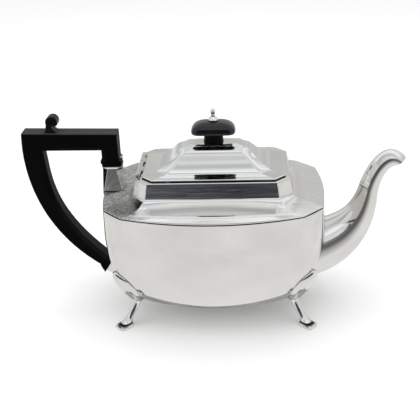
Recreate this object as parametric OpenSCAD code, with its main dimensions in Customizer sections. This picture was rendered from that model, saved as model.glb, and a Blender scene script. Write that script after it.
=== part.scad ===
// Silver teapot: a bowed, canted rectangular pot on four feet, with a hinged lid,
// a black square-bar handle and a faceted swan-neck spout.
// +Z is up, +X points to the spout, the origin lies on the table under the pot's centre.

/* [Pot] */
// Half length of the rim at its corners
rim_a = 78.3; // [74:0.1:82]
// Half width of the rim at its corners
rim_b = 50; // [46:0.1:54]
// How far each corner of the rim is cut back
rim_cant = 14.5; // [11:0.1:18]
// Bow of the long sides
side_bow = 11; // [8:0.1:13]
// Bow of the short ends
end_bow = 3.4; // [1:0.1:5]
// Height of the rim
rim_z = 96.3; // [92:0.1:100]
// Height of the pot's underside
base_z = 10.2; // [8:0.1:14]
// Thickness of the sheet silver
sheet = 1.2; // [1:0.1:1.5]

/* [Collar and lid] */
// Height of the collar's top face
collar_z = 114.4; // [112:0.1:117]
// Half length of the lid's edge
lid_a = 51.4; // [50:0.1:52]
// Half width of the lid's edge
lid_b = 31.2; // [30:0.1:32]
// Cut at each corner of the lid
lid_cant = 8; // [6:0.1:9]
// Rise from the lid's edge to the rim of its top platform
lid_rise = 16.6; // [14:0.1:18]
// Gap between the lid and the collar
lid_gap = 0.3; // [0.3:0.05:0.5]

/* [Hinge] */
// Radius of the hinge knuckles
knuckle_r = 1.7; // [1.6:0.05:1.8]
// Radius of the hinge pin
hinge_pin_r = 0.8; // [0.7:0.05:0.9]

/* [Knob] */
// Half length of the knob's cap
cap_a = 15.8; // [14:0.1:17]
// Half width of the knob's cap
cap_b = 8.7; // [8:0.1:10]
// Height of the knob's cap
cap_h = 8.6; // [7:0.1:10]
// Height of the knob's neck
neck_h = 7.8; // [6:0.1:10]

/* [Handle] */
// Width of the square bar
bar_w = 13.4; // [12:0.1:14.5]

/* [Hidden] */

$fn = 48;
silver = [0.84, 0.84, 0.83];
black = [0.06, 0.06, 0.07];
fit = 0.05;                             // gap between pieces that are soldered or pinned
bore_gap = 0.05;                        // radial clearance of a running pin
body_top_z = rim_z - 1.5;
lid_x = 1;                              // the lid's centre lies this far towards the spout
lid_z = collar_z + lid_gap;             // underside of the lid's edge
lid_edge = 1;                           // thickness of the lid's edge
crown = 0.8;                            // rise of the platform from its rim to the knob
platform_z = lid_z + lid_edge + lid_rise + crown;
platform_a = 18;
platform_b = 8;
hinge_x = -53.4;
hinge_z = lid_z + 0.6;
hinge_y = 21;                           // half length of the hinge
knuckle_gap = 0.3;
slot_z = collar_z - sheet;              // floor of the hinge slot in the collar
cap_z = platform_z + neck_h;
bolt_r = 1.25;
bolt_bore_r = bolt_r + bore_gap;
pin_r = 1.2;                            // handle pins
pin_head_r = 2.6;
upper_pin_end = -81.2;
pin_head_x = -68.8;                     // underside of the upper pin's head
upper_pin_z = 121.3;
foot_x = 68.7;
foot_y = 40.9;

function lerp(p, q, t) = p + (q - p) * t;
function bezier(p, t) =
    pow(1 - t, 3) * p[0] + 3 * pow(1 - t, 2) * t * p[1] + 3 * (1 - t) * t * t * p[2] + pow(t, 3) * p[3];
function curve(p, n) = [for (i = [0 : n]) bezier(p, i / n)];

// Points from p to q, without q, bowed outwards by up to `bow` along the direction `out`.
function bowed(p, q, bow, out, n) =
    [for (i = [0 : n - 1]) let (t = i / n) lerp(p, q, t) + out * bow * 4 * t * (1 - t)];

// One level ring of the pot. `e` is the corner where an end meets a cant, `s` the corner where a
// long side meets it. Each corner has its own height, in its third value.
function ring(e, s, ends = 0, sides = 0, cants = 0) =
    let (d = [0.7, 0.7, 0], mx = [-1, 1, 1], my = [1, -1, 1], m2 = [-1, -1, 1])
    concat(
        bowed(v(e, my), e, ends, [1, 0, 0], 6),
        bowed(e, s, cants, d, 3),
        bowed(s, v(s, mx), sides, [0, 1, 0], 10),
        bowed(v(s, mx), v(e, mx), cants, v(d, mx), 3),
        bowed(v(e, mx), v(e, m2), ends, [-1, 0, 0], 6),
        bowed(v(e, m2), v(s, m2), cants, v(d, m2), 3),
        bowed(v(s, m2), v(s, my), sides, [0, -1, 0], 10),
        bowed(v(s, my), v(e, my), cants, v(d, my), 3));
function v(p, q) = [p[0] * q[0], p[1] * q[1], p[2] * q[2]];

// A level ring given by its half length, half width and corner cut.
function level(a, b, c, z, ends = 0, sides = 0, cants = 0) =
    ring([a, b - c, z], [a - c, b, z], ends, sides, cants);
function moved(r, by) = [for (p = r) p + by];

// Skins a list of rings. Both ends are capped, unless the last ring joins the first.
module loft(rings, joined = false) {
    n = len(rings[0]);
    last = len(rings) - 1;
    walls = [for (k = [0 : joined ? last : last - 1], i = [0 : n - 1], half = [0, 1])
        let (k2 = (k + 1) % (last + 1), j = (i + 1) % n)
        half ? [k * n + i, k2 * n + j, k * n + j] : [k * n + i, k2 * n + i, k2 * n + j]];
    caps = joined ? [] : [[for (i = [0 : n - 1]) i], [for (i = [n - 1 : -1 : 0]) last * n + i]];
    polyhedron([for (r = rings) each r], concat(walls, caps), convexity = 8);
}

// ---- the pot's outer surface ------------------------------------------------------------------

// How far the wall has drawn in at depth u, which runs from 0 at the rim to 1 at the underside.
function draw_in(most, power, u) = most * (1 - pow(max(0, 1 - pow(u, power)), 1 / power));
function belly_ring(u, inset = 0) =
    let (a = rim_a - draw_in(50, 2.6, u) + 1.5 * sin(180 * u),
         b = rim_b - draw_in(38, 3, u) + 0.5 * sin(180 * u),
         z = lerp(body_top_z, base_z, u))
    level(a - inset, b - inset, rim_cant - 5 * u * u, z + inset * pow(u, 8),
          end_bow, side_bow, 3 * sqrt(sin(180 * u)));
depths = [0, 0.04, 0.1, 0.22, 0.35, 0.48, 0.6, 0.7, 0.78, 0.85, 0.91, 0.95, 0.98, 1];
function belly_rings(inset) = [for (i = [len(depths) - 1 : -1 : 0]) belly_ring(depths[i], inset)];

// Rings of the shoulder's outer skin, from the rim to the top of the collar. `t` thins it inwards.
function shoulder_rings(t) = [
    ring([rim_a - t, 35.5 - t / 2, rim_z - t], [63.8 - t / 2, rim_b - t, rim_z - t],
         end_bow, side_bow),
    ring([62.3 - t, 27, 99 - t], [56.5, 48 - t, 97.5 - t]),
    ring([60 - t, 26.5, 100 - t], [51.5, 41 - t, 99 - t]),
    ring([58 - t, 26, 102.5 - t / 2], [47.8, 36 - t, 102.6 - t / 2]),
    ring([55.6 - t, 25.2, collar_z - 1.4 + t / 6], [46.3, 34.4 - t, collar_z - 1.4 + t / 6]),
];

// The pot as one solid, which trims whatever is soldered to it.
module pot_solid() {
    loft(concat(belly_rings(-fit), shoulder_rings(-fit)));
}

// ---- pot --------------------------------------------------------------------------------------

module body_shell() {
    inner = belly_rings(sheet);
    color(silver) difference() {
        loft(concat(belly_rings(0), [for (i = [len(inner) - 1 : -1 : 0]) inner[i]]));
        // the strainer pierced behind the spout
        for (row = [-2 : 2], col = [-1 : 1])
            translate([70, col * 6 + (row % 2) * 3, 46 + row * 5.2])
                rotate([0, 90, 0]) cylinder(h = 20, r = 1.6);
    }
}

module shoulder_cover() {
    outer = shoulder_rings(0);
    inner = shoulder_rings(sheet);
    rim_foot = ring([rim_a, 35.5, body_top_z], [63.8, rim_b, body_top_z], end_bow, side_bow);
    rim_inner = ring([rim_a - sheet, 35, body_top_z], [63.3, rim_b - sheet, body_top_z],
                     end_bow, side_bow);
    color(silver) difference() {
        loft(concat([rim_foot], outer, [
            level(55, 33.8, 9, collar_z),
            level(48, 28.3, 6.5, collar_z),
            level(48, 28.3, 6.5, collar_z - sheet)],
            [for (i = [4 : -1 : 1]) inner[i]],
            [rim_inner]), joined = true);
        translate([hinge_x - 3.1, -hinge_y - 0.4, slot_z])
            cube([5.1, 2 * hinge_y + 0.8, 3]);
    }
}

// ---- hinge ------------------------------------------------------------------------------------

// A row of knuckles with the bore for the pin; `spans` are [from, to] along Y.
module knuckles(spans, web_from, web_size) {
    difference() {
        for (s = spans) {
            translate([hinge_x, s[0], hinge_z])
                rotate([-90, 0, 0]) cylinder(h = s[1] - s[0], r = knuckle_r);
            translate([hinge_x + web_from[0], s[0], web_from[1]])
                cube([web_size[0], s[1] - s[0], web_size[1]]);
        }
        translate([hinge_x, -hinge_y - 1, hinge_z])
            rotate([-90, 0, 0]) cylinder(h = 2 * hinge_y + 2, r = hinge_pin_r + bore_gap);
    }
}
pitch = 2 * hinge_y / 5;
function span(i) = [-hinge_y + i * pitch + knuckle_gap / 2, -hinge_y + (i + 1) * pitch - knuckle_gap / 2];

module hinge_body_leaf() {
    color(silver) {
        knuckles([for (i = [0, 2, 4]) span(i)], [-0.5, slot_z - 0.5], [1, 1.5]);
        translate([hinge_x - 0.6, -hinge_y, slot_z - 1]) cube([5.8, 2 * hinge_y, 1]);
    }
}

module hinge_lid_leaf() {
    color(silver)
        knuckles([for (i = [1, 3]) span(i)], [0, lid_z], [lid_x - lid_a - hinge_x, lid_edge]);
}

module hinge_pin() {
    color(silver) translate([hinge_x, -hinge_y, hinge_z])
        rotate([-90, 0, 0]) cylinder(h = 2 * hinge_y, r = hinge_pin_r);
}

// ---- lid --------------------------------------------------------------------------------------

// Ogee of the lid's panels: the rise, 0 to 1, at s of the way from the edge to the platform.
function ogee(s) = 3 * pow(s, 3) - 2 * pow(s, 4);
function lid_ring(s, drop = 0, inset = 0) =
    moved(level(lerp(lid_a, platform_a, s) - inset, lerp(lid_b, platform_b, s) - inset,
                lerp(lid_cant, 4.5, s), lid_z + lid_edge + lid_rise * ogee(s) - drop,
                cants = -0.8 * sin(180 * s)), [lid_x, 0, 0]);

module lid() {
    outer = [for (s = [0, 0.2, 0.32, 0.44, 0.56, 0.68, 0.8, 0.9, 1]) lid_ring(s)];
    seat = moved(level(9.5, 7, 3, platform_z, 0.3, 0.3, 0.1), [lid_x, 0, 0]);
    seat_inner = moved(seat, [0, 0, -sheet]);
    inner = [for (s = [1, 0.9, 0.8, 0.68, 0.56, 0.44, 0.32]) lid_ring(s, sheet, 0.3)];
    color(silver) difference() {
        loft(concat([seat_inner], inner,
                    [moved(level(46, 25.8, 6, lid_z), [lid_x, 0, 0]),
                     moved(level(lid_a, lid_b, lid_cant, lid_z), [lid_x, 0, 0])],
                    outer, [seat]));
        translate([lid_x, 0, platform_z - 4]) cylinder(h = 6, r = bolt_bore_r);
    }
}

// Upright flange under the lid that drops into the collar's mouth.
module lid_bezel() {
    foot_z = collar_z - 6.5;
    color(silver) loft([
        level(46.6, 26.8, 6, foot_z), level(46.6, 26.8, 6, lid_z),
        level(45.6, 25.8, 5.6, lid_z), level(45.6, 25.8, 5.6, foot_z)], joined = true);
}

// ---- knob -------------------------------------------------------------------------------------

module knob_neck() {
    color(black) translate([lid_x, 0, platform_z]) difference() {
        rotate_extrude() polygon([[0, 0], [6.9, 0], [6.7, 1], [6.5, neck_h / 2], [6.9, neck_h - 1],
                                  [6.9, neck_h], [0, neck_h]]);
        translate([0, 0, -1]) cylinder(h = neck_h + 2, r = bolt_bore_r);
    }
}

module knob_cap() {
    // [share of the plan size, share of the height]
    dome = concat([[0.9, 0], [0.98, 0.06]], [for (q = [0 : 12 : 72]) [pow(cos(q), 0.7), 0.16 + 0.84 * sin(q)]]);
    color(black) translate([lid_x, 0, cap_z]) difference() {
        loft(concat([for (d = dome) level(cap_a * d[0], cap_b * d[0], 3.4 * d[0], cap_h * d[1],
                                          0.4 * d[0], 0, 0.5)],
                    [level(4, 3.9, 1.2, cap_h)]));
        translate([0, 0, -1]) cylinder(h = cap_h + 2, r = bolt_bore_r);
    }
}

module finial_bolt() {
    top = cap_z + cap_h;
    color(silver) translate([lid_x, 0, 0]) {
        translate([0, 0, top]) rotate_extrude()
            polygon(concat([[0, 0], [3.7, 0], [3.7, 0.7], [2.9, 1.5], [1.7, 2.4], [1.3, 4], [1.5, 5.1]],
                           [for (q = [-40 : 20 : 90]) [1.8 * cos(q), 6.6 + 1.8 * sin(q)]]));
        translate([0, 0, platform_z - 7.5]) cylinder(h = top - platform_z + 7.6, r = bolt_r);
    }
}

module knob_washer() {
    color(silver) translate([lid_x, 0, platform_z - sheet - 0.8]) difference() {
        cylinder(h = 0.8, r = 5);
        translate([0, 0, -1]) cylinder(h = 3, r = bolt_bore_r);
    }
}

module knob_nut() {
    color(silver) translate([lid_x, 0, platform_z - sheet - 3.8]) difference() {
        cylinder(h = 3, r = 3.4, $fn = 6);
        translate([0, 0, -1]) cylinder(h = 5, r = bolt_bore_r);
    }
}

// ---- spout ------------------------------------------------------------------------------------

// Profile of the spout's back and belly, each as two joined curves in X and Z.
back_low = [[55, 66], [92, 70], [102, 76], [108, 97]];
back_high = [[108, 97], [111, 109], [126, 133], [141, 118]];
belly_low = [[52, 17], [82, 16], [120, 36], [121.9, 86]];
belly_high = [[121.9, 86], [122.5, 98], [125, 106], [131.5, 112.2]];
// Rings run from inside the pot (0) over the waist (1) to the mouth (2).
spout_steps = [0.28, 0.38, 0.48, 0.58, 0.68, 0.78, 0.89, 1, 1.15, 1.3, 1.45, 1.6, 1.72, 1.82, 1.91, 2];
function edge_at(low, high, t) = t <= 1 ? bezier(low, t) : bezier(high, t - 1);
function spout_half_width(t) = t <= 1 ? lerp(17, 8.6, t) : lerp(8.6, 5.4, t - 1);
// A pointed oval section whose crisp side ridges lie nearer the back.
function spout_ring(t, wall) =
    let (top = edge_at(back_low, back_high, t), low = edge_at(belly_low, belly_high, t),
         h = norm(top - low), up = (top - low) / h, w = spout_half_width(t) - wall * 1.2,
         ridge = lerp(low, top, 0.66))
    [for (q = [0 : 15 : 345])
        let (x = w * sign(cos(q)) * pow(abs(cos(q)), 1.25),
             rise = (sin(q) > 0 ? h * 0.34 : h * 0.66) - wall,
             y = rise * sign(sin(q)) * pow(abs(sin(q)), 1.1))
        [ridge[0] + up[0] * y, x, ridge[1] + up[1] * y]];

module spout() {
    outer = [for (t = spout_steps) spout_ring(t, 0)];
    inner = [for (i = [len(spout_steps) - 1 : -1 : 0]) spout_ring(spout_steps[i], sheet)];
    color(silver) difference() {
        loft(concat(outer, inner), joined = true);
        pot_solid();
    }
}

// ---- handle -----------------------------------------------------------------------------------

handle_outer = [[-138.6, 143.4], [-142.6, 105.6], [-129.4, 62.4], [-90.7, 34.6]];
handle_inner = [[-124.6, 129.3], [-121.8, 107.4], [-126.2, 80.4], [-83.9, 40.8]];
leg_x = -75;                            // centre of the upright leg
leg_foot_z = 117.4;
lower_dir = [0.857, -0.515];            // the handle's line where it meets the lower socket
lower_at = [-84.2, 32];                 // centre of the handle's lower end face

module xz(width) {
    rotate([90, 0, 0]) translate([0, 0, -width / 2]) linear_extrude(width) children();
}

module handle() {
    outer = curve(handle_outer, 14);
    inner = curve(handle_inner, 14);
    color(black) difference() {
        xz(bar_w) polygon(concat(
            outer,
            [[-89.4, 30.8], [-87.2, 27], [-81.2, 37], [-82.2, 39.4]],
            [for (i = [14 : -1 : 0]) inner[i]],
            [[-81.4, 128.9], [-81.4, 122], [-82.6, 120.8], [-82.6, 119.2], [-81.6, leg_foot_z],
             [-68.4, leg_foot_z], [-67.4, 119.2], [-67.4, 120.8], [-68.8, 122], [-68.8, 141.9]]));
        // mortises for the sockets' tongues
        translate([leg_x - 3 - fit, -3 - fit, leg_foot_z - 1]) cube([6 + 2 * fit, 6 + 2 * fit, 11]);
        lower_tongue(fit);
        translate([-90, 0, upper_pin_z]) rotate([0, 90, 0]) cylinder(h = 30, r = pin_r + fit);
        translate([pin_head_x - fit, 0, upper_pin_z])
            rotate([0, 90, 0]) cylinder(h = 5, r = pin_head_r + fit);
        lower_pin_line(pin_r + fit, 20);
    }
}

// Tongue of the lower socket, along the handle's own line.
module lower_tongue(grow) {
    translate([lower_at[0], 0, lower_at[1]]) rotate([0, 31, 0])
        translate([-9 - grow, -2.5 - grow, -2.5 - grow]) cube([9.6 + grow, 5 + 2 * grow, 5 + 2 * grow]);
}
module lower_pin_line(r, h) {
    translate([lower_at[0] - 4.6 * lower_dir[0], 0, lower_at[1] - 4.6 * lower_dir[1]])
        rotate([90, 0, 0]) cylinder(h = h, r = r, center = true);
}

module handle_upper_socket() {
    color(silver) difference() {
        union() {
            // eight-sided at the top, running out to a plain rectangle at its foot
            translate([-74.5, 0, 0]) loft([
                box_ring(7.7, 8.8, 0.4, 95.5), box_ring(7.2, 6.9, 4.2, leg_foot_z - 2.6),
                box_ring(7.3, 7, 2, leg_foot_z - 1.6), box_ring(7.3, 7, 2, leg_foot_z)]);
            translate([leg_x - 3, -3, leg_foot_z - 1]) cube([6, 6, 10.5]);
        }
        pot_solid();
        translate([-90, 0, upper_pin_z]) rotate([0, 90, 0]) cylinder(h = 30, r = pin_r + fit);
    }
}
function box_ring(a, b, c, z) =
    [[a, c - b, z], [a, b - c, z], [a - c, b, z], [c - a, b, z],
     [-a, b - c, z], [-a, c - b, z], [c - a, -b, z], [a - c, -b, z]];

module handle_lower_socket() {
    color(silver) difference() {
        union() {
            xz(10.4) polygon([[-86.3, 28.5], [-82.1, 35.5], [-72, 35.5], [-66, 30], [-66, 21], [-76, 22]]);
            lower_tongue(0);
        }
        pot_solid();
        lower_pin_line(pin_r + fit, 20);
    }
}

module handle_upper_pin() {
    color(silver) translate([0, 0, upper_pin_z]) rotate([0, 90, 0]) {
        translate([0, 0, upper_pin_end]) cylinder(h = pin_head_x - upper_pin_end + 0.1, r = pin_r);
        translate([0, 0, pin_head_x]) cylinder(h = 2.2, r = pin_head_r);
    }
}

module handle_lower_pin() {
    color(silver) lower_pin_line(pin_r, bar_w);
}

module thumb_rest() {
    curl = [-115.9, 150.7];
    color(black) difference() {
        xz(9) polygon(concat(
            [[-111.6, 142], [-115, 145], [-116.6, 147.6]],
            [for (q = [-40 : 20 : 200]) curl + 4.5 * [cos(q), sin(q)]],
            [[-121, 145], [-123, 142]]));
        xz(bar_w + 2) polygon([[-140, 143.43 + fit], [-60, 141.71 + fit], [-60, 130], [-140, 130]]);
    }
}

// ---- feet -------------------------------------------------------------------------------------

// Levels of a foot: [height, inner reach, outer reach, half width], with the reach measured
// outwards from the pad's centre.
foot_levels = [
    [0, -5.5, 6.8, 5.2], [1.6, -5.5, 6.8, 5.2], [2.4, -5.5, 4, 3.8], [4.6, -6.8, 0.6, 3],
    [8, -9.6, -3, 2.7], [12.5, -13, -6.8, 2.9], [17, -16.6, -9.6, 3.8], [21, -20, -8.2, 8],
    [25, -20, -4.6, 11], [30, -18, -1, 13], [36, -14, 2.6, 12.6], [42, -9, 5.2, 9.6],
    [46, -5, 6.4, 6], [49.5, -1, 6.4, 1.6]];

module foot() {
    color(silver) difference() {
        translate([foot_x, foot_y, 0]) rotate(45) loft([for (f = foot_levels)
            let (mid = (f[1] + f[2]) / 2, half = (f[2] - f[1]) / 2)
            [for (q = [0 : 30 : 330]) [mid + half * cos(q), f[3] * sin(q), f[0]]]]);
        pot_solid();
    }
}
module foot_back_right() { foot(); }
module foot_back_left() { mirror([1, 0, 0]) foot(); }
module foot_front_right() { mirror([0, 1, 0]) foot(); }
module foot_front_left() { mirror([1, 0, 0]) mirror([0, 1, 0]) foot(); }

body_shell();
shoulder_cover();
hinge_body_leaf();
hinge_lid_leaf();
hinge_pin();
lid();
lid_bezel();
knob_neck();
knob_cap();
finial_bolt();
knob_washer();
knob_nut();
spout();
handle_upper_socket();
handle_lower_socket();
handle();
handle_upper_pin();
handle_lower_pin();
thumb_rest();
foot_front_right();
foot_front_left();
foot_back_right();
foot_back_left();
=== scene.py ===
import math

import bmesh
import bpy
from mathutils import Matrix, Vector


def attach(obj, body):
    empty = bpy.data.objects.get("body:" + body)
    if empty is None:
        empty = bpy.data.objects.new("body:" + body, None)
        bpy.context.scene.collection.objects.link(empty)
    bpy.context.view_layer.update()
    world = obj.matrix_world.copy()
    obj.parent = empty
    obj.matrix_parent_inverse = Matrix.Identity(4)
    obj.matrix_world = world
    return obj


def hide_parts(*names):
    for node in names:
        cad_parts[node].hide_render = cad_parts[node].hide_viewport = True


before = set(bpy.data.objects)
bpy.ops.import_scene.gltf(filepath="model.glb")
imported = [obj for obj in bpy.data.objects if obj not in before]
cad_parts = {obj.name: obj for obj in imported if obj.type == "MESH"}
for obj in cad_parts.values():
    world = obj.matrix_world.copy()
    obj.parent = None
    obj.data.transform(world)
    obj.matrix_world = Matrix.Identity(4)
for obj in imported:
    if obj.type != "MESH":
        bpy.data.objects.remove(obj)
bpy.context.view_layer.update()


# ==== Body =======================================================================================
# The pot's belly is one sheet of nickel silver, raised to a long eight-sided plan whose walls
# bulge and draw in to a small flat base. Its foot is plain, its top edge takes the shoulder, and
# it is pierced with a strainer behind the spout. The whole is silver plated and polished.

MM = 0.001


def bowed_edge(start, end, out, bow, parts, corner):
    """Points along one edge of a plan, bowed outwards, stopping `corner` short of both ends."""
    short = min(corner / (end - start).length, 0.42)
    points = []
    for k in range(parts + 1):
        t = short + (1 - 2 * short) * k / parts
        points.append(start.lerp(end, t) + out * bow * 4 * t * (1 - t))
    return points


def plan(end_corner, side_corner, ends=0.0, sides=0.0, cants=0.0, corner=0.5, middle=0.0, lift=0.0):
    """One ring of the pot's plan: two ends, two long sides and four canted corners between them.
    The edges bow outwards, and the long sides rise by `lift` at their middle."""
    e = Vector(end_corner)
    s = Vector(side_corner)
    tips = []
    for point, x, y in ((e, 1, -1), (e, 1, 1), (s, 1, 1), (s, -1, 1),
                        (e, -1, 1), (e, -1, -1), (s, -1, -1), (s, 1, -1)):
        tips.append(Vector((point.x * x + middle, point.y * y, point.z)))
    outs = [(1, 0), (0.7, 0.7), (0, 1), (-0.7, 0.7), (-1, 0), (-0.7, -0.7), (0, -1), (0.7, -0.7)]
    bows = [ends, cants, sides, cants] * 2
    parts = [8, 4, 16, 4] * 2
    edges = []
    for i in range(8):
        rise = lift / sides if i in (2, 6) and sides else 0
        out = Vector((outs[i][0], outs[i][1], rise))
        edges.append(bowed_edge(tips[i], tips[(i + 1) % 8], out, bows[i], parts[i], corner))
    ring = []
    for i in range(8):
        ring += edges[i]
        last = edges[i][-1]
        first = edges[(i + 1) % 8][0]
        tip = tips[(i + 1) % 8]
        for t in (0.33, 0.67):
            ring.append(last * (1 - t) ** 2 + tip * 2 * t * (1 - t) + first * t * t)
    return ring


def level_plan(half_length, half_width, cut, z, **bows):
    """A level ring given by its half length, half width and corner cut."""
    return plan((half_length, half_width - cut, z), (half_length - cut, half_width, z), **bows)


def first_ring(name, points):
    """Adds a circle, puts it on the first ring and leaves it selected in edit mode."""
    bpy.ops.object.select_all(action="DESELECT")
    bpy.ops.mesh.primitive_circle_add(vertices=len(points), radius=0.05)
    piece = bpy.context.object
    piece.name = name
    piece.data.name = name
    order = piece.data.attributes.new("order", "INT", "POINT")
    for i, point in enumerate(points):
        order.data[i].value = i
        piece.data.vertices[i].co = point * MM
    bpy.ops.object.mode_set(mode="EDIT")
    bpy.ops.mesh.select_mode(type="VERT")
    bpy.ops.mesh.select_all(action="SELECT")
    return piece


def raise_rings(piece, rings):
    """Extrudes the selected edge once for each ring and puts it on that ring."""
    for points in rings:
        bpy.ops.mesh.extrude_edges_indiv()
        work = bmesh.from_edit_mesh(piece.data)
        order = work.verts.layers.int["order"]
        for vert in work.verts:
            if vert.select:
                vert.co = points[vert[order]] * MM
        bmesh.update_edit_mesh(piece.data)


def turn_outwards():
    """Points every face of the piece in edit mode outwards and leaves edit mode."""
    bpy.ops.mesh.select_all(action="SELECT")
    bpy.ops.mesh.normals_make_consistent(inside=False)
    bpy.ops.object.mode_set(mode="OBJECT")


def pick(piece):
    bpy.ops.object.select_all(action="DESELECT")
    piece.select_set(True)
    bpy.context.view_layer.objects.active = piece


def thicken(piece, wall):
    """Gives a sheet its thickness, inwards."""
    pick(piece)
    sheet = piece.modifiers.new("sheet", "SOLIDIFY")
    sheet.thickness = wall * MM
    sheet.offset = -1
    sheet.use_even_offset = True
    bpy.ops.object.modifier_apply(modifier="sheet")


def cut_with(piece, cutters):
    """Cuts the cutters out of the piece and takes them away."""
    for cutter in cutters:
        pick(piece)
        cut = piece.modifiers.new("cut", "BOOLEAN")
        cut.operation = "DIFFERENCE"
        cut.solver = "EXACT"
        cut.object = cutter
        bpy.ops.object.modifier_apply(modifier="cut")
        bpy.data.objects.remove(cutter)


def smooth_off(piece):
    """Smooth shading that keeps broad faces true."""
    pick(piece)
    bpy.ops.object.shade_smooth()
    true = piece.modifiers.new("true", "WEIGHTED_NORMAL")
    true.weight = 50
    true.keep_sharp = True
    bpy.ops.object.modifier_apply(modifier="true")
    leftover = piece.data.attributes.get("order")
    if leftover:
        piece.data.attributes.remove(leftover)


RIM_Z = 94.8
RIM_HALF_LENGTH = 78.3
RIM_HALF_WIDTH = 50
BELLY_DEPTH = 84.6
SHEET = 1.2


def drawn_in(most, power, u):
    """How far the wall has drawn in at depth u, from 0 at the rim to 1 at the base."""
    return most * (1 - max(0.0, 1 - u ** power) ** (1 / power))


def belly_plan(u, inset=0.0):
    half_length = RIM_HALF_LENGTH - drawn_in(50, 2.6, u) + 1.5 * math.sin(math.pi * u)
    half_width = RIM_HALF_WIDTH - drawn_in(38, 3, u) + 0.5 * math.sin(math.pi * u)
    bulge = 3 * math.sqrt(max(0.0, math.sin(math.pi * u)))
    return level_plan(half_length - inset, half_width - inset, 14.5 - 5 * u * u,
                      RIM_Z - BELLY_DEPTH * u, ends=3.4, sides=11 - 3 * u * u, cants=bulge,
                      corner=0.9 + 5 * min(1, u * 3))


depths = [0.004, 0.009, 0.02, 0.035, 0.055]
for k in range(4, 41):
    depths.append(math.sin(k * math.pi / 80) ** 0.8)
body = first_ring("silver_body", belly_plan(0, inset=0.45))
raise_rings(body, [belly_plan(0.002, inset=0.12)])
raise_rings(body, [belly_plan(u) for u in depths])
raise_rings(body, [level_plan(25, 9.6, 7.6, 10.3, ends=3, sides=9, corner=3),
                   level_plan(21, 7.4, 5.6, 10.9, ends=2, sides=6, corner=2),
                   level_plan(10, 3.6, 2.6, 11, ends=1, sides=2, corner=1)])
bpy.ops.mesh.merge(type="CENTER")
turn_outwards()
bpy.context.view_layer.update()
thicken(body, SHEET)

strainer = []
for row in range(-2, 3):
    for column in (-1, 0, 1):
        bpy.ops.object.select_all(action="DESELECT")
        bpy.ops.mesh.primitive_cylinder_add(
            vertices=20, radius=1.6 * MM, depth=20 * MM, rotation=(0, math.pi / 2, 0),
            location=(0.08, (column * 6 + (row % 2) * 3) * MM, (46 + row * 5.2) * MM))
        strainer.append(bpy.context.object)
cut_with(body, strainer)
smooth_off(body)


class Signal:
    """A value on one socket of a finish's node tree; arithmetic on it adds Math nodes."""

    def __init__(self, finish, socket):
        self.finish = finish
        self.socket = socket

    def math(self, operation, first, second):
        return self.finish.node("ShaderNodeMath", {"operation": operation}, {0: first, 1: second})

    def __add__(self, other):
        return self.math("ADD", self, other)

    def __radd__(self, other):
        return self.math("ADD", other, self)

    def __sub__(self, other):
        return self.math("SUBTRACT", self, other)

    def __rsub__(self, other):
        return self.math("SUBTRACT", other, self)

    def __mul__(self, other):
        return self.math("MULTIPLY", self, other)

    def __rmul__(self, other):
        return self.math("MULTIPLY", other, self)


class Finish:
    """A material with one Principled shader, and one method that adds any other node."""

    def __init__(self, name):
        self.material = bpy.data.materials.new(name)
        self.material.use_nodes = True
        self.tree = self.material.node_tree
        self.shader = self.tree.nodes["Principled BSDF"]

    def node(self, kind, settings=None, inputs=None, out=0):
        made = self.tree.nodes.new(kind)
        for setting, value in (settings or {}).items():
            if setting == "stops":
                ramp = made.color_ramp
                while len(ramp.elements) < len(value):
                    ramp.elements.new(0.5)
                for stop, (place, shade) in zip(ramp.elements, value):
                    stop.position = place
                    stop.color = (*shade, 1) if isinstance(shade, tuple) else (shade,) * 3 + (1,)
            else:
                setattr(made, setting, value)
        for socket, value in (inputs or {}).items():
            self.feed(made.inputs[socket], value)
        return Signal(self, made.outputs[out])

    def feed(self, socket, value):
        if isinstance(value, Signal):
            self.tree.links.new(value.socket, socket)
        else:
            socket.default_value = value

    def set(self, **sockets):
        for name, value in sockets.items():
            self.feed(self.shader.inputs[name.replace("_", " ").title()], value)

    def place(self, scale=(1, 1, 1), turn=(0, 0, 0)):
        """Object coordinates, turned and scaled."""
        here = self.node("ShaderNodeTexCoord", out="Object")
        return self.node("ShaderNodeMapping", {}, {"Vector": here, "Scale": scale, "Rotation": turn})

    def noise(self, scale, detail=3.0, stretch=(1, 1, 1), turn=(0, 0, 0), roughness=0.5):
        return self.node("ShaderNodeTexNoise", {}, {
            "Vector": self.place(stretch, turn), "Scale": scale, "Detail": detail,
            "Roughness": roughness})

    def ramp(self, value, stops):
        return self.node("ShaderNodeValToRGB", {"stops": stops}, {"Fac": value})


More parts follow.
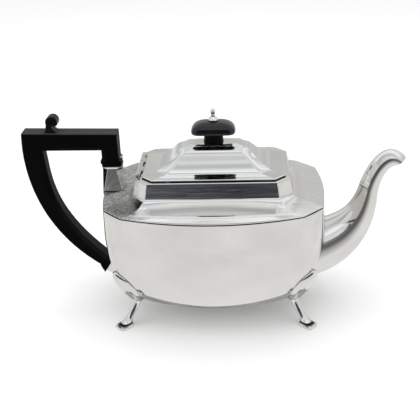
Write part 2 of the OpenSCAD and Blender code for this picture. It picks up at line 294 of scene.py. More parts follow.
def silver_finish(name, gloss=0.07, tone=(0.81, 0.803, 0.785), seams=(), haze=0.05, polish=0.04,
                  streaks=0, tarnish=0.22, soldered=False, dull_ends_and_left_reflection=False):
    """Old silver plate: bright, with soft haze, hairlines, pin specks and near-black joint lines that
    are partly tarnish and partly painted shade. `seams` are [height, half thickness] in millimetres,
    where such a line lies along a level joint; a soldered piece is also painted dark where its point
    attribute says it nears the belly (solder dirt and painted shade in the crease) and along the
    spout's painted reflection band. Asked to, it makes both ends rougher and paints the left end
    dark and speckled, a painted reflection of the black handle."""
    silver = Finish(name)
    cloud = silver.noise(18, detail=4)
    specks = silver.ramp(silver.noise(900, detail=1), [(0.66, 0.0), (0.78, 1.0)])
    hairs = silver.ramp(silver.noise(60, detail=2, stretch=(1, 22, 22), turn=(0.2, 0.1, 0.35)),
                        [(0.6, 0.0), (0.68, 1.0)])
    hairs_across = silver.ramp(silver.noise(70, detail=2, stretch=(24, 1, 24), turn=(0.5, 0.3, -0.6)),
                               [(0.62, 0.0), (0.7, 1.0)])
    dull = cloud * haze + specks * 0.12 + hairs * polish + hairs_across * polish
    stain = silver.ramp(silver.noise(42, detail=5, roughness=0.65), [(0.35, 0.0), (0.8, 1.0)])
    # dark joint lines, partly tarnish and dirt, partly painted shade; on the spout also a painted
    # reflection band
    dirt_shade_and_reflection = None
    if seams:
        here = silver.node("ShaderNodeTexCoord", out="Object")
        height = silver.node("ShaderNodeSeparateXYZ", {}, {"Vector": here}, out="Z")
        for z, half in seams:
            off = silver.node("ShaderNodeMath", {"operation": "ABSOLUTE"}, {0: height - z * MM})
            line = silver.ramp(off * (1 / (2 * half * MM)), [(0.36, 1.0), (0.6, 0.0)])
            dirt_shade_and_reflection = line if dirt_shade_and_reflection is None else dirt_shade_and_reflection + line
    if soldered:
        near = silver.node("ShaderNodeAttribute", {"attribute_name": "seam"}, out="Fac")
        line = silver.ramp(near, [(0.25, 0.0), (0.9, 0.85)])
        dirt_shade_and_reflection = line if dirt_shade_and_reflection is None else dirt_shade_and_reflection + line
    worn = silver.node("ShaderNodeMix", {"data_type": "RGBA"}, {
        0: stain * tarnish + specks * tarnish, 6: (*tone, 1),
        7: (tone[0] * 0.82, tone[1] * 0.78, tone[2] * 0.7, 1)}, out=2)
    # painted reflection: the left end is painted dark and speckled where it would reflect the black
    # handle; both ends are also made rougher
    if dull_ends_and_left_reflection:
        here = silver.node("ShaderNodeTexCoord", out="Object")
        length = silver.node("ShaderNodeSeparateXYZ", {}, {"Vector": here}, out="X")
        left = silver.ramp(length * -10, [(0.505, 0.0), (0.59, 1.0)])
        right = silver.ramp(length * 10, [(0.6, 0.0), (0.67, 1.0)])
        grain = silver.ramp(silver.noise(520, detail=3, roughness=0.7), [(0.35, 0.15), (0.65, 1.0)])
        worn = silver.node("ShaderNodeMix", {"data_type": "RGBA"}, {
            0: left * grain * 0.85, 6: worn, 7: (0.13, 0.125, 0.118, 1)}, out=2)
        dull = dull + left * 0.3 + right * 0.16
    # the marked joints and bands are painted near black and made rougher
    if dirt_shade_and_reflection is not None:
        worn = silver.node("ShaderNodeMix", {"data_type": "RGBA"}, {
            0: dirt_shade_and_reflection, 6: worn, 7: (0.03, 0.028, 0.026, 1)}, out=2)
        dull = dull + dirt_shade_and_reflection * 0.4
    silver.set(base_color=worn, metallic=1.0, roughness=dull + (gloss - haze * 0.5))
    dent = silver.node("ShaderNodeBump", {}, {
        "Height": silver.noise(26, detail=1) + hairs * 0.01, "Strength": 0.10,
        "Distance": 0.0004})
    if streaks:
        drawn = silver.noise(330, detail=2, stretch=(0.06, 1, 1))
        dent = silver.node("ShaderNodeBump", {}, {
            "Height": drawn, "Strength": 0.2 * streaks, "Distance": 0.0003, "Normal": dent})
    silver.set(normal=dent)
    return silver.material


# a near-black line is painted along the rim joint, partly tarnish and partly painted shade in the groove
plate = silver_finish("polished_plate", seams=[(RIM_Z, 0.42)])
body.data.materials.append(plate)
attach(body, "pot")
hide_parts("body_shell")


# ==== Shoulder ===================================================================================
# The shoulder is a second sheet, soldered along the rim: flat end plates and a moulded front that
# sweep up in a cove to a steep collar. Its top is turned in to a narrow flange round the filling
# mouth, with a notch at the handle side for the hinge.

def between(stations, steps):
    """Stations joined by smooth curves that pass through every one of them."""
    count = len(stations)
    made = []
    for i in range(count - 1):
        before = stations[max(i - 1, 0)]
        here = stations[i]
        there = stations[i + 1]
        beyond = stations[min(i + 2, count - 1)]
        for k in range(steps):
            t = k / steps
            made.append([0.5 * (2 * b + (c - a) * t + (2 * a - 5 * b + 4 * c - d) * t * t
                                + (3 * b - a - 3 * c + d) * t ** 3)
                         for a, b, c, d in zip(before, here, there, beyond)])
    made.append(list(stations[-1]))
    return made


# each station: the corner at the end, the corner at the long side, and the side's bow and lift
rim_line = (70.5, 31, 97.65, 60, 49, 96.95, 9.5, 1.4)
step_line = (62.3, 27, 99, 57.5, 48.4, 97.6, 7.9, 1.6)
cove = between([rim_line, step_line], 3)
cove += between([step_line, (60, 26.5, 99.8, 51.5, 41.6, 99.3, 3, 0.9),
                 (58.4, 26, 101.4, 48.6, 37.4, 101.7, 0.3, 0),
                 (57.7, 25.7, 103.4, 47.6, 36, 103.6, 0, 0)], 6)[1:]
cove += between([(57.7, 25.7, 103.4, 47.6, 36, 103.6, 0, 0),
                 (55.6, 25.2, 113, 46.3, 34.2, 113, 0, 0)], 4)[1:]
rim_rings = []
for inset, z in ((0.45, RIM_Z), (0.12, 94.98), (0, 95.3), (0, 95.9), (0.14, 96.18), (0.5, 96.34)):
    rim_rings.append(plan((RIM_HALF_LENGTH - inset, 35.5 - inset / 2, z),
                          (63.8 - inset / 2, RIM_HALF_WIDTH - inset, z),
                          ends=3.4, sides=11, corner=0.6))
shoulder = first_ring("silver_shoulder", rim_rings[0])
raise_rings(shoulder, rim_rings[1:])
raise_rings(shoulder, [plan(c[:3], c[3:6], sides=c[6], lift=c[7], corner=0.7) for c in cove])
raise_rings(shoulder, [
    level_plan(55.3, 34.1, 9.1, 114.05, corner=0.6), level_plan(55, 33.8, 9, 114.4, corner=0.6),
    level_plan(54.2, 33.1, 8.7, 114.4, corner=0.6), level_plan(48, 28.3, 6.5, 114.4, corner=0.6)])
turn_outwards()
thicken(shoulder, SHEET)
bpy.ops.object.select_all(action="DESELECT")
bpy.ops.mesh.primitive_cube_add(size=1, scale=(5.1 * MM, 42.8 * MM, 2.6 * MM),
                                location=(-53.95 * MM, 0, 114.5 * MM))
notch = bpy.context.object
cut_with(shoulder, [notch])
smooth_off(shoulder)
# the rim joint is painted near black, partly tarnish and partly painted shade; the left end plate is
# painted dark and speckled, a painted reflection of the handle
shoulder.data.materials.append(
    silver_finish("shoulder_plate", seams=[(RIM_Z, 0.42)], haze=0.06, streaks=1, tarnish=0.3,
                  dull_ends_and_left_reflection=True))
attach(shoulder, "pot")
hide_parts("shoulder_cover")


# ==== Lid ========================================================================================
# The lid is raised from one sheet: four ogee panels climb from a thin flat edge to a small
# platform, and meet in narrow fluted hips. It lifts on the hinge at the handle side.

LID_MIDDLE = 1
LID_RUN = 23.2


def lid_plan(run, rise):
    """The lid's section where its long side has come in by `run` and risen by `rise`."""
    s = run / LID_RUN
    return level_plan(51.4 - 33.4 * s, 31.2 - run, 8 - 3.5 * s, 115.7 + rise,
                      cants=-0.8 * math.sin(math.pi * s), corner=0.35,
                      middle=LID_MIDDLE)


ogee = between([(0, 0), (4.6, 0.95), (8.6, 2.35), (13.4, 7.4), (16.4, 11.9), (18.4, 14.2), (20.1, 15.15),
                (21.7, 15.8), (23.2, 16.35)], 6)

lid = first_ring("silver_lid", level_plan(51.1, 30.9, 8, 114.7, corner=0.5, middle=LID_MIDDLE))
raise_rings(lid, [level_plan(51.4, 31.2, 8, 115.0, corner=0.5, middle=LID_MIDDLE),
                  level_plan(51.4, 31.2, 8, 115.45, corner=0.5, middle=LID_MIDDLE),
                  level_plan(51.1, 30.9, 7.95, 115.7, corner=0.5, middle=LID_MIDDLE)])
raise_rings(lid, [lid_plan(run, rise) for run, rise in ogee[1:]])
raise_rings(lid, [level_plan(16, 7.5, 4.1, 132.5, corner=0.4, middle=LID_MIDDLE),
                  level_plan(13, 6.9, 3.7, 132.8, corner=0.4, middle=LID_MIDDLE),
                  level_plan(9.5, 6, 3, 132.97, corner=0.4, middle=LID_MIDDLE),
                  level_plan(3, 2.6, 1, 133.05, corner=0.4, middle=LID_MIDDLE)])
bpy.ops.mesh.merge(type="CENTER")
turn_outwards()
thicken(lid, 0.9)
smooth_off(lid)
# the lid's lowest edge is painted near black, a painted shade of the gap above the flange
lid.data.materials.append(silver_finish("lid_plate", seams=[(114.75, 0.42)], haze=0.05))
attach(lid, "lid")
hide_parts("lid")


# ==== Lid flange and hinge =======================================================================
# A straight flange soldered under the lid drops into the mouth. The hinge is five drawn-tube
# knuckles on a steel-hard silver pin, three on the collar and two on the lid.

fittings = silver_finish("hinge_silver", gloss=0.16, tone=(0.72, 0.71, 0.685), haze=0.08, polish=0.08)
for node in ("hinge_body_leaf", "hinge_lid_leaf", "hinge_pin", "lid_bezel", "knob_washer",
             "knob_nut", "handle_lower_pin", "handle_upper_pin"):
    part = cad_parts[node]
    for spot in part.material_slots:
        spot.material = fittings


# ==== Knob =======================================================================================
# The knob is turned and carved black hardwood in two pieces: a round neck that stands on the
# lid's platform and a cushion-shaped cap with cut corners. A long bolt clamps both to the lid.

def round_ring(radius, z, points=48, middle=LID_MIDDLE):
    ring = []
    for k in range(points):
        turn = 2 * math.pi * k / points
        ring.append(Vector((middle + radius * math.cos(turn), radius * math.sin(turn), z)))
    return ring


neck_profile = [(1.4, 132.7), (7.1, 132.7), (7.3, 132.9), (7.35, 133.4), (7.15, 134), (7.0, 135.2),
                (6.95, 136.8), (7.0, 138.4), (7.15, 139.3), (7.2, 139.7), (7.1, 140.1), (6.8, 140.3),
                (1.4, 140.3)]
neck = first_ring("black_neck", round_ring(*neck_profile[0]))
raise_rings(neck, [round_ring(r, z) for r, z in neck_profile[1:]])
raise_rings(neck, [round_ring(*neck_profile[0])])
bpy.ops.mesh.select_all(action="SELECT")
bpy.ops.mesh.remove_doubles(threshold=0.00001)
turn_outwards()
smooth_off(neck)


def cap_plan(share, z):
    half_length = 15.8 * share
    half_width = 8.7 * share
    return level_plan(half_length, half_width, 3.4 * share, z, ends=0.4 * share, sides=0.35 * share,
                      cants=0.5 * share, corner=1.4 * share, middle=LID_MIDDLE)


cap = first_ring("black_cap", cap_plan(0.2, 140.25))
raise_rings(cap, [cap_plan(0.6, 140.25), cap_plan(0.86, 140.18), cap_plan(0.91, 140.1),
                  cap_plan(0.955, 140.2), cap_plan(0.985, 140.6), cap_plan(0.998, 141.1)])
for degrees in range(0, 78, 5):
    q = math.radians(degrees)
    raise_rings(cap, [cap_plan(math.cos(q) ** 0.7, 141.6 + 7.5 * math.sin(q))])
raise_rings(cap, [cap_plan(0.22, 149.1), cap_plan(0.1, 149.1)])
bpy.ops.mesh.merge(type="CENTER")
bpy.ops.mesh.select_all(action="DESELECT")
work = bmesh.from_edit_mesh(cap.data)
for vert in work.verts:
    vert.select = vert.is_boundary
work.select_flush(True)
bmesh.update_edit_mesh(cap.data)
bpy.ops.mesh.edge_face_add()
turn_outwards()
smooth_off(cap)


def black_finish(name, gloss, tone, grain, coat, shine=0.14, painted_top_light=0.0):
    """Blackened hardwood: fine grain along X, a rubbed shine and, when asked, a paler top painted on
    as light falling from above.
    """
    black = Finish(name)
    fibre = black.noise(70, detail=4, stretch=(1, 14, 14))
    pores = black.ramp(black.noise(420, detail=2, stretch=(0.35, 2.4, 2.4)), [(0.58, 0.0), (0.7, 1.0)])
    rubbed = black.ramp(black.noise(24, detail=3), [(0.42, 0.0), (0.72, 1.0)])
    colour = black.node("ShaderNodeMix", {"data_type": "RGBA"}, {
        0: fibre * 0.5 + rubbed * 0.4, 6: (*tone, 1),
        7: (tone[0] * 2.1, tone[1] * 2.0, tone[2] * 1.95, 1)}, out=2)
    # painted light: faces that turn upwards are painted paler, as if lit from above
    if painted_top_light:
        facing = black.node("ShaderNodeNewGeometry", out="Normal")
        upward = black.node("ShaderNodeSeparateXYZ", {}, {"Vector": facing}, out="Z")
        top = black.ramp(upward, [(0.15, 0.0), (0.5, 0.3), (0.97, 1.0)])
        colour = black.node("ShaderNodeMix", {"data_type": "RGBA"}, {
            0: top * (fibre * 0.5 + 0.6), 6: colour, 7: (painted_top_light, painted_top_light, painted_top_light, 1)}, out=2)
    black.set(base_color=colour)
    black.set(roughness=gloss + fibre * 0.10 + pores * 0.08 - rubbed * 0.06)
    black.set(normal=black.node("ShaderNodeBump", {}, {
        "Height": fibre * 0.4 - pores, "Strength": grain, "Distance": 0.0002}))
    black.shader.inputs["Specular IOR Level"].default_value = shine
    black.shader.inputs["Coat Weight"].default_value = coat
    black.shader.inputs["Coat Roughness"].default_value = 0.08
    return black.material


neck_black = black_finish("neck_black_wood", 0.3, (0.0015, 0.0015, 0.002), 0.12, 0.0, shine=0.05)
knob_black = black_finish("knob_black_wood", 0.16, (0.003, 0.003, 0.004), 0.12, 0.75)
for piece, node, wood in ((neck, "knob_neck", neck_black), (cap, "knob_cap", knob_black)):
    piece.data.materials.append(wood)
    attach(piece, "lid")
    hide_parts(node)


# ==== Finial bolt ================================================================================
# A turned silver finial: a small flange, a waist and a ball. Its rod runs down through the knob
# to a washer and a nut under the lid.

finial_profile = [(1.25, 124.8), (1.25, 149), (3.5, 149), (3.7, 149.2), (3.7, 149.9), (3.5, 150.2),
                  (3.05, 150.8), (2.3, 151.4), (1.75, 152), (1.42, 152.8), (1.3, 153.6), (1.42, 154.3),
                  (1.62, 154.6), (1.62, 154.85), (1.4, 155)]
for degrees in range(-35, 86, 10):
    q = math.radians(degrees)
    finial_profile.append((1.8 * math.cos(q), 156.05 + 1.8 * math.sin(q)))
finial = first_ring("silver_finial", round_ring(*finial_profile[0], points=32))
bpy.ops.mesh.edge_face_add()
raise_rings(finial, [round_ring(r, z, points=32) for r, z in finial_profile[1:]])
bpy.ops.mesh.merge(type="CENTER")
turn_outwards()
smooth_off(finial)
# the flange's foot, the waist and the collar under the ball are painted dark, painted shade in the
# turned hollows
finial.data.materials.append(silver_finish("finial_plate", haze=0.08,
                                         seams=[(149.3, 0.45), (152.6, 0.3), (154.8, 0.25)]))
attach(finial, "lid")
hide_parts("finial_bolt")


# ==== Spout ======================================================================================
# The spout is a hollow swan neck, made in two halves and soldered to the pot's end. A crisp ridge
# runs along each side from the root to the down-turned pointed lip.

SPOUT_POINTS = 56
PANEL = 0.3                             # share of the belly side that is the flat panel
RIDGE = 0.66                            # how far up from the belly to the back the ridges lie


def bezier(corners, t):
    a, b, c, d = (Vector(p) for p in corners)
    return a * (1 - t) ** 3 + b * 3 * (1 - t) ** 2 * t + c * 3 * (1 - t) * t * t + d * t ** 3


def along(low, high, t):
    """A point on an edge of two joined curves; t is 0 inside the pot and 2 at the mouth."""
    return bezier(low, t) if t <= 1 else bezier(high, t - 1)


def spout_point(t, k):
    """Point k of the spout's section at t, egg-shaped with a ridge along each side."""
    back = along([(55, 66), (92, 70), (102, 76), (108, 97)],
                 [(108, 97), (111.41, 108.94), (124.3, 138), (141, 118)], t)
    # the belly line runs ahead of the back line, so that the sections turn evenly
    t_belly = t + 0.4 * t * (1 - t) if t <= 1 else t + 0.42 * (t - 1) * (2 - t)
    belly = along([(52, 17), (82, 16), (120, 36), (121.9, 86)],
                  [(121.9, 86), (122.36, 98), (125, 106), (131.5, 112.2)], t_belly)
    tall = (back - belly).length
    up = (back - belly) / tall
    half = 17 - 11.8 * t + 3.4 * t * t if t <= 1 else 8.6 - 2.85 * (t - 1) - 0.35 * (t - 1) ** 2
    q = 2 * math.pi * k / SPOUT_POINTS
    high = math.sin(q)
    if high >= 0:
        across = 0.93 * (1 - high) ** 0.68
        z = (1 - RIDGE) * tall * high
    else:
        # a nearly flat panel under the ridge, then a round belly
        s = 2 * math.asin(-high) / math.pi
        turn = max(0.0, s - PANEL) / (1 - PANEL) * math.pi / 2
        low = min(s, PANEL) + (1 - PANEL) * math.sin(turn)
        flat = min(1.0, low / PANEL)
        across = math.cos(turn) * (0.93 + 0.07 * flat * (2 - flat))
        z = -RIDGE * tall * low
    spot = belly.lerp(back, RIDGE) + up * z
    return Vector((spot.x, half * math.copysign(across, math.cos(q)), spot.y))


def root_of(k):
    """How far along line k of the spout meets the body's wall."""
    t = 2.0
    while t > 0.1:
        here = spout_point(t, k) * MM
        step = spout_point(t - 0.02, k) * MM - here
        hit, spot, _, _ = body.ray_cast(here, step.normalized(), distance=step.length)
        if hit:
            return t - 0.02 * (spot - here).length / step.length
        t -= 0.02
    return 0.1


roots = [root_of(k) for k in range(SPOUT_POINTS)]
spout_rings = []
for j in range(49):
    share = j / 48
    spout_rings.append([spout_point(roots[k] + (2 - roots[k]) * share, k) for k in range(SPOUT_POINTS)])
spout = first_ring("silver_spout", spout_rings[0])
raise_rings(spout, spout_rings[1:])
turn_outwards()
thicken(spout, 0.9)


def mark_seam(piece, reach):
    """Stores how near each point is to the belly: 1 on its wall, 0 at `reach` from it."""
    # this nearness is where the finish paints the joint dark, partly solder dirt and partly painted
    # shade in the crease
    seam = piece.data.attributes.new("seam", "FLOAT", "POINT")
    for i, vert in enumerate(piece.data.vertices):
        _, spot, _, _ = body.closest_point_on_mesh(vert.co)
        seam.data[i].value = max(0.0, 1 - (vert.co - spot).length / (reach * MM))


mark_seam(spout, 1.8)
# painted reflection: the panel under each ridge is painted dark, for the dark band that it reflects
UNDER_RIDGE = (0.35, 0.85, 0.85, 0.65, 0.5, 0.3)
FRONT_RIDGE = SPOUT_POINTS // 2
BOTTOM = SPOUT_POINTS * 3 // 4
for i, point in enumerate(spout.data.attributes["order"].data):
    below = (-point.value) % SPOUT_POINTS if point.value >= BOTTOM else abs(point.value - FRONT_RIDGE)
    if point.value in (0, *range(FRONT_RIDGE, SPOUT_POINTS)) and below < len(UNDER_RIDGE):
        seam = spout.data.attributes["seam"].data[i]
        seam.value = max(seam.value, UNDER_RIDGE[below])
pick(spout)
bpy.ops.object.shade_smooth_by_angle(angle=math.radians(40))
lines = spout.data.attributes["order"].data
for edge in spout.data.edges:
    start, end = (lines[i].value for i in edge.vertices)
    if start == end and start in (0, FRONT_RIDGE):
        edge.use_edge_sharp = True
spout.data.attributes.remove(spout.data.attributes["order"])
# its root and the panel under each ridge are painted dark by the point attribute
spout.data.materials.append(silver_finish("spout_plate", haze=0.06, soldered=True))
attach(spout, "pot")
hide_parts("spout")


# ==== Handle sockets =============================================================================
# Two cast silver sockets are soldered to the pot's other end: an upright one under the handle's
# leg, plain with canted corners, and a small raked one low on the wall.

def softened_copy(node, name, edge):
    """A copy of a CAD piece, with its flat faces made whole and its edges taken off."""
    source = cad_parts[node]
    piece = bpy.data.objects.new(name, source.data.copy())
    bpy.context.scene.collection.objects.link(piece)
    piece.data.name = name
    piece.data.materials.clear()
    pick(piece)
    bpy.ops.object.mode_set(mode="EDIT")
    bpy.ops.mesh.select_all(action="SELECT")
    bpy.ops.mesh.customdata_custom_splitnormals_clear()
    bpy.ops.mesh.remove_doubles(threshold=0.00001)
    bpy.ops.mesh.dissolve_limited(angle_limit=math.radians(1))
    turn_outwards()
    worn = piece.modifiers.new("worn", "BEVEL")
    worn.width = edge * MM
    worn.segments = 3
    worn.limit_method = "ANGLE"
    worn.angle_limit = math.radians(28)
    bpy.ops.object.modifier_apply(modifier="worn")
    smooth_off(piece)
    return piece


# two level lines are painted near black: at the top where the leg stands and at the foot on the
# shoulder, partly dirt and partly painted shade between parts
socket_plate = silver_finish("socket_plate", gloss=0.1, tone=(0.8, 0.785, 0.755), haze=0.1,
                             seams=[(117.1, 0.8), (97.6, 0.5)])
for node, name in (("handle_upper_socket", "silver_upper_socket"),
                   ("handle_lower_socket", "silver_lower_socket")):
    socket = softened_copy(node, name, 0.3)
    socket.data.materials.append(socket_plate)
    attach(socket, "pot")
    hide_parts(node)


# ==== Handle =====================================================================================
# The handle is sawn from black hardwood: an upright leg, a square bar and a long bowed arm. Its
# inner edges are worked back with a broad bevel that mitres at the corners.

def handle_ring(inner, outer, broad=3.2, deep=1.9, arris=0.5, half=6.7):
    """A section of the bar between an inner and an outer point of its outline: a broad bevel on the
    inner edges, `broad` by `deep`, and a small arris on the outer ones."""
    inside = Vector((inner[0], 0, inner[1]))
    outside = Vector((outer[0], 0, outer[1]))
    to_in = (inside - outside).normalized()
    side = Vector((0, 1, 0))
    ring = []
    for start, along_bar, across in (
            (outside, 0, -half + arris), (outside, 0, half - arris), (outside, arris, half),
            (inside, -broad, half), (inside, 0, half - deep), (inside, 0, -half + deep),
            (inside, -broad, -half), (outside, arris, -half)):
        ring.append(start + to_in * along_bar + side * across)
    return ring


outer_arm = [(-138.5, 143.4), (-142.5, 105.6), (-129.4, 62.4), (-90.7, 34.6)]
inner_arm = [(-124.6, 129.3), (-121.8, 107.4), (-126.2, 80.4), (-83.9, 40.8)]
LEG_INNER = -81.4
LEG_OUTER = -68.8
LEG_FOOT_TOP = 122.8
stations = []
for inner_x, outer_x, z in ((-81.6, -68.4, 117.4), (-82.6, -67.4, 118.5), (-82.8, -67.2, 119.9),
                            (-82.5, -67.5, 121), (-81.7, -68.5, 121.9),
                            (LEG_INNER, LEG_OUTER, LEG_FOOT_TOP)):
    stations.append(((inner_x, z), (outer_x, z)))
BAR_UNDERSIDE = 128.9
BAR_TOP = 141.9
for k in range(1, 4):
    stations.append(((LEG_INNER, LEG_FOOT_TOP + (BAR_UNDERSIDE - LEG_FOOT_TOP) * k / 3),
                     (LEG_OUTER, LEG_FOOT_TOP + (BAR_TOP - LEG_FOOT_TOP) * k / 3)))
for k in range(1, 7):
    share = k / 6
    stations.append(((LEG_INNER - 43.2 * share, BAR_UNDERSIDE + 0.4 * share),
                     (LEG_OUTER - 69.7 * share, BAR_TOP + 1.5 * share)))
for k in range(1, 33):
    inner = bezier(inner_arm, k / 32)
    outer = bezier(outer_arm, k / 32)
    stations.append(((inner.x, inner.y), (outer.x, outer.y)))
stations += [((-82.2, 39.4), (-89.4, 30.8)), ((-81.2, 37), (-87.2, 27))]
handle_rings = [handle_ring(inner, outer) for inner, outer in stations]
handle = first_ring("black_handle", handle_rings[0])
bpy.ops.mesh.edge_face_add()
raise_rings(handle, handle_rings[1:])
bpy.ops.mesh.edge_face_add()
turn_outwards()
pick(handle)
worn = handle.modifiers.new("worn", "BEVEL")
worn.width = 0.35 * MM
worn.segments = 2
worn.limit_method = "ANGLE"
worn.angle_limit = math.radians(25)
bpy.ops.object.modifier_apply(modifier="worn")
smooth_off(handle)
# the handle's upper faces get a painted paler top, a painted light
handle_black = black_finish("handle_black_wood", 0.38, (0.0012, 0.0014, 0.0015), 0.25, 0.0,
                            shine=0.03, painted_top_light=0.05)
handle.data.materials.append(handle_black)
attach(handle, "pot")
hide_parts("handle")


# ==== Thumb rest =================================================================================
# A small carved scroll of the same black wood is glued on top of the bar and curls towards the
# pot, to keep the thumb off the hot silver.

thumb = softened_copy("thumb_rest", "black_thumb_rest", 0.9)
thumb.data.materials.append(
    black_finish("thumb_black_wood", 0.2, (0.0015, 0.0015, 0.002), 0.15, 0.2, shine=0.06))
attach(thumb, "pot")
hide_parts("thumb_rest")


# ==== Feet =======================================================================================
# Four cast feet stand at the canted corners. Each is a domed leaf soldered to the belly, a slim
# ridged shank that flares outwards, and a thin flat pad.

# height, inner reach, outer reach, half width, squareness of the section
foot_stations = [
    (0, -5.4, 6.7, 5.1, 5), (0.7, -5.5, 6.8, 5.2, 5), (1.5, -5.4, 6.6, 5.0, 4.5),
    (2.4, -5.4, 4.2, 3.9, 3), (4.6, -6.8, 0.6, 3, 1.7), (8, -9.6, -3, 2.7, 1.5),
    (12.5, -13, -6.8, 2.9, 1.5), (17, -16.6, -9.6, 3.8, 1.6), (19.4, -18.6, -9.7, 5.4, 1.8),
    (21, -20, -7.6, 7.3, 2), (25, -20, -4.6, 9.6, 2), (30, -18, -1, 11.2, 2), (36, -14, 2.6, 10.9, 2),
    (42, -9, 5.2, 8.5, 2), (46, -5, 6.4, 5.3, 2), (49.5, -1, 6.4, 1.6, 2)]


FOOT_X = 68.7
FOOT_Y = 40.9
DIAGONAL = 0.7071


def foot_ring(station, side_x, side_y):
    z, inner, outer, half, square = station
    middle = (inner + outer) / 2
    reach = (outer - inner) / 2
    power = 2 / square
    ring = []
    for k in range(32):
        q = 2 * math.pi * k / 32
        out = middle + reach * math.copysign(abs(math.cos(q)) ** power, math.cos(q))
        across = half * math.copysign(abs(math.sin(q)) ** power, math.sin(q))
        x = FOOT_X + (out - across) * DIAGONAL
        y = FOOT_Y + (out + across) * DIAGONAL
        ring.append(Vector((x * side_x, y * side_y, z)))
    return ring


# dark lines are painted at the joint between leaf and shank, above the pad and where the foot meets the
# belly, partly solder dirt and partly painted shade in the creases
foot_finish = silver_finish("foot_plate", gloss=0.09, haze=0.08, seams=[(20.4, 0.55), (2.6, 0.6)],
                            soldered=True)
for name, node, side_x, side_y in (("silver_foot_fr", "foot_front_right", 1, -1),
                                   ("silver_foot_fl", "foot_front_left", -1, -1),
                                   ("silver_foot_br", "foot_back_right", 1, 1),
                                   ("silver_foot_bl", "foot_back_left", -1, 1)):
    levels = between(foot_stations, 4)
    foot = first_ring(name, foot_ring(levels[0], side_x, side_y))
    bpy.ops.mesh.edge_face_add()
    raise_rings(foot, [foot_ring(level, side_x, side_y) for level in levels[1:]])
    bpy.ops.mesh.merge(type="CENTER")
    turn_outwards()
    mark_seam(foot, 1.1)
    # what lies inside the belly is drawn back into its wall
    outward = Vector((side_x, side_y, -0.4)).normalized()
    for vert in foot.data.vertices:
        found, spot, normal, _ = body.closest_point_on_mesh(vert.co)
        if found and (vert.co - spot).dot(outward) < 0 and vert.co.z > 0.018:
            vert.co = spot - normal * 0.0003
    smooth_off(foot)
    foot.data.materials.append(foot_finish)
    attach(foot, "pot")
    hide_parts(node)


# ==== Studio =====================================================================================
# A pale table, a wide soft light overhead and a pale room. Cards and curtains that only polished
# faces see stand round the pot, and give the silver something to reflect in the table's place.

bpy.ops.object.select_all(action="DESELECT")
bpy.ops.mesh.primitive_plane_add(size=16, location=(0, 0, 0))
table = bpy.context.object
table.name = "table"
table_finish = Finish("table_white")
mottle = table_finish.ramp(table_finish.noise(3, detail=2),
                           [(0.3, (0.955, 0.955, 0.95)), (0.7, (0.975, 0.975, 0.97))])
table_finish.set(base_color=mottle, roughness=0.8)
table.data.materials.append(table_finish.material)
table.visible_glossy = False


def curtain(name, size, place, turn, shade, streaks):
    """A reflector or curtain that only polished surfaces see."""
    bpy.ops.object.select_all(action="DESELECT")
    bpy.ops.mesh.primitive_plane_add(size=1, location=place, rotation=turn)
    hung = bpy.context.object
    hung.name = name
    hung.scale = (size[0], size[1], 1)
    cloth = Finish(name)
    tone = cloth.ramp(cloth.noise(3, detail=3, stretch=streaks), shade)
    cloth.feed(cloth.shader.inputs["Base Color"], (0, 0, 0, 1))
    cloth.feed(cloth.shader.inputs["Emission Color"], tone)
    cloth.shader.inputs["Emission Strength"].default_value = 1
    cloth.shader.inputs["Specular IOR Level"].default_value = 0
    hung.data.materials.append(cloth.material)
    hung.visible_camera = False
    hung.visible_diffuse = False
    hung.visible_shadow = False


curtain("dark_curtain", (0.72, 0.40), (-0.03, -0.62, 0.20), (math.pi / 2, 0, 0),
        [(0.38, (0.008, 0.010, 0.014)), (0.6, (0.14, 0.145, 0.16))], (1.1, 8, 1))
curtain("dark_rug", (0.72, 0.22), (-0.03, -0.51, 0.001), (0, 0, 0),
        [(0.38, (0.02, 0.02, 0.022)), (0.6, (0.2, 0.2, 0.2))], (2, 4, 1))
curtain("ceiling", (5, 5), (0, 0, 1.4), (0, 0, 0),
        [(0.38, (0.52, 0.55, 0.58)), (0.58, (1.06, 1.08, 1.1))], (0.25, 3, 1))
curtain("back_wall", (5, 1.4), (0, 1.7, 0.7), (math.pi / 2, 0, 0),
        [(0.3, (0.52, 0.52, 0.52)), (0.7, (0.72, 0.72, 0.71))], (1, 2, 1))
curtain("floor_card", (3, 3), (0, 0, 0.0006), (0, 0, 0),
        [(0.35, (0.77, 0.77, 0.767)), (0.65, (0.87, 0.87, 0.862))], (7, 9, 1))
curtain("shade_beneath", (0.16, 0.09), (0, 0.005, 0.0012), (0, 0, 0),
        [(0.3, (0.24, 0.24, 0.24)), (0.7, (0.42, 0.42, 0.415))], (2, 2, 1))

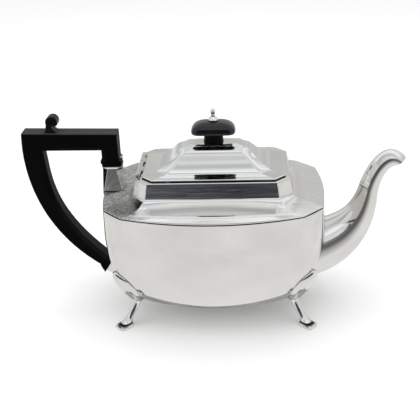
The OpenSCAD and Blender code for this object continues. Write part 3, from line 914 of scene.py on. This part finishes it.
sky = bpy.data.worlds.new("room")
bpy.context.scene.world = sky
sky.use_nodes = True
tree = sky.node_tree
look = tree.nodes.new("ShaderNodeTexCoord")
split = tree.nodes.new("ShaderNodeSeparateXYZ")
tree.links.new(look.outputs["Generated"], split.inputs[0])
fade = tree.nodes.new("ShaderNodeValToRGB")
tree.links.new(split.outputs["Z"], fade.inputs["Fac"])
for place, shade in ((0.0, (0.72, 0.72, 0.72)), (0.35, (0.8, 0.8, 0.8)), (0.55, (0.97, 0.98, 0.99)),
                     (1.0, (1.0, 1.0, 1.0))):
    stop = fade.color_ramp.elements.new(place) if 0 < place < 1 else (
        fade.color_ramp.elements[0] if place == 0 else fade.color_ramp.elements[-1])
    stop.color = (*shade, 1)
tree.links.new(fade.outputs["Color"], tree.nodes["Background"].inputs["Color"])
tree.nodes["Background"].inputs["Strength"].default_value = 0.88


def soft_light(name, place, size, power, aim=(0, 0, 0.08)):
    lamp = bpy.data.lights.new(name, "AREA")
    lamp.shape = "RECTANGLE"
    lamp.size = size[0]
    lamp.size_y = size[1]
    lamp.energy = power
    lit = bpy.data.objects.new(name, lamp)
    bpy.context.scene.collection.objects.link(lit)
    lit.location = place
    lit.visible_glossy = False
    lit.rotation_euler = (Vector(place) - Vector(aim)).to_track_quat("Z", "Y").to_euler()


soft_light("overhead", (0.0, 0.05, 1.1), (1.5, 0.9), 5.5)
soft_light("left_window", (-1.1, -0.2, 0.7), (0.7, 0.7), 1.5)

camera_data = bpy.data.cameras.new("camera")
camera_data.lens = 67.56
camera_data.sensor_width = 36
camera_data.clip_start = 0.01
camera = bpy.data.objects.new("camera", camera_data)
bpy.context.scene.collection.objects.link(camera)
turned = (Matrix.Rotation(math.radians(2.961), 4, "Z") @ Matrix.Rotation(math.radians(64.0), 4, "X")
          @ Matrix.Rotation(math.radians(-2.033), 4, "Z"))
camera.matrix_world = Matrix.Translation((0.02435, -0.53823, 0.33995)) @ turned
bpy.context.scene.camera = camera
bpy.context.scene.view_settings.view_transform = "Standard"
